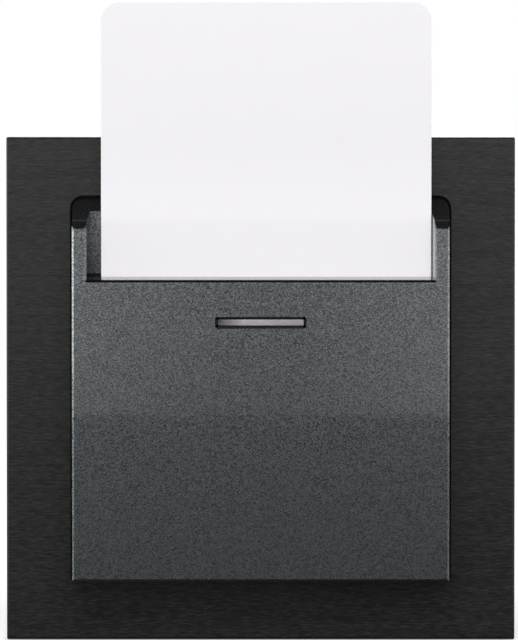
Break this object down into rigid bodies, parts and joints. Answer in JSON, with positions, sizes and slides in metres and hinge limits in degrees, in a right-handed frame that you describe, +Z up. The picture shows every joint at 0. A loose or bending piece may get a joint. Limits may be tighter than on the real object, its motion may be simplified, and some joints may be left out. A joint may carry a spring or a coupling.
{
  "type": "key card switch",
  "caption": "Square wall switch worked by a key card: frame, eared card pocket with indicator bar, upright card, and a flush insert with slider, rocker contact and spreading claws.",
  "frame": {"origin": "centre of the frame on the wall plane, where the carrier's rear rim and the ring's rear face lie", "axes": "+X to the viewer's right, +Y into the wall, +Z up along the card"},
  "size_m": [0.0834, 0.042, 0.1049],
  "materials": {
    "black_aluminium": "black anodised, brushed sideways",
    "carrier_plastic": "black moulded",
    "cover_plastic": "dark grey metallic speckle",
    "clear_plastic": "clear polished",
    "spring_steel": "bright spring wire",
    "zinc_steel": "zinc plated",
    "insert_plastic": "off-white moulded",
    "slider_plastic": "white moulded",
    "board": "green circuit board",
    "lamp": "clear lamp body",
    "brass": "plain brass",
    "bronze": "spring bronze",
    "card_white": "plain white, lightly glossy"
  },
  "bodies": {
    "switch_body": {"frame_plate": "black_aluminium", "frame_carrier": "carrier_plastic", "card_cover": "cover_plastic", "light_guide": "clear_plastic", "pocket_back": "carrier_plastic", "card_grip_springs": "spring_steel", "mounting_ring": "zinc_steel", "base_lid": "insert_plastic", "base_housing": "insert_plastic", "assembly_screws": "zinc_steel", "lamp_board": "board", "lamp_led": "lamp", "lamp_contacts": "brass", "terminal_clamps": "brass", "terminal_screws": "zinc_steel", "common_contact": "bronze", "on_contact": "bronze", "off_contact": "bronze", "rocker_pin": "zinc_steel", "slider_spring": "spring_steel", "claw_pins": "zinc_steel", "claw_screws": "zinc_steel"},
    "slider": {"card_slider": "slider_plastic"},
    "rocker": {"contact_rocker": "slider_plastic", "moving_contact": "bronze"},
    "card": {"key_card": "card_white"},
    "left_claw": {"claw_left": "zinc_steel"},
    "right_claw": {"claw_right": "zinc_steel"}
  },
  "joints": [
    {"name": "slider_travel", "type": "slide", "parent": "switch_body", "child": "slider", "axis": [0, 0, 1], "range_m": [0, 0.004], "stiffness_N_per_m": 60, "springref_m": 0.01, "deforming": ["slider_spring"]},
    {"name": "card_slide", "type": "slide", "parent": "slider", "child": "card", "axis": [0, 0, 1], "range_m": [0, 0.06]},
    {"name": "rocker_swing", "type": "hinge", "parent": "switch_body", "child": "rocker", "pos_m": [0, 0.0044, -0.004], "axis": [1, 0, 0], "range_deg": [-31, 1]},
    {"name": "claw_left_swing", "type": "hinge", "parent": "switch_body", "child": "left_claw", "pos_m": [-0.0254, 0.0024, 0], "axis": [0, 0, 1], "range_deg": [0, 18]},
    {"name": "claw_right_swing", "type": "hinge", "parent": "switch_body", "child": "right_claw", "pos_m": [0.0254, 0.0024, 0], "axis": [0, 0, 1], "range_deg": [-18, 0]}
  ],
  "couplings": [
    {"joint": "rocker_swing", "follows": "slider_travel", "rad_per_m": -126.34}
  ]
}
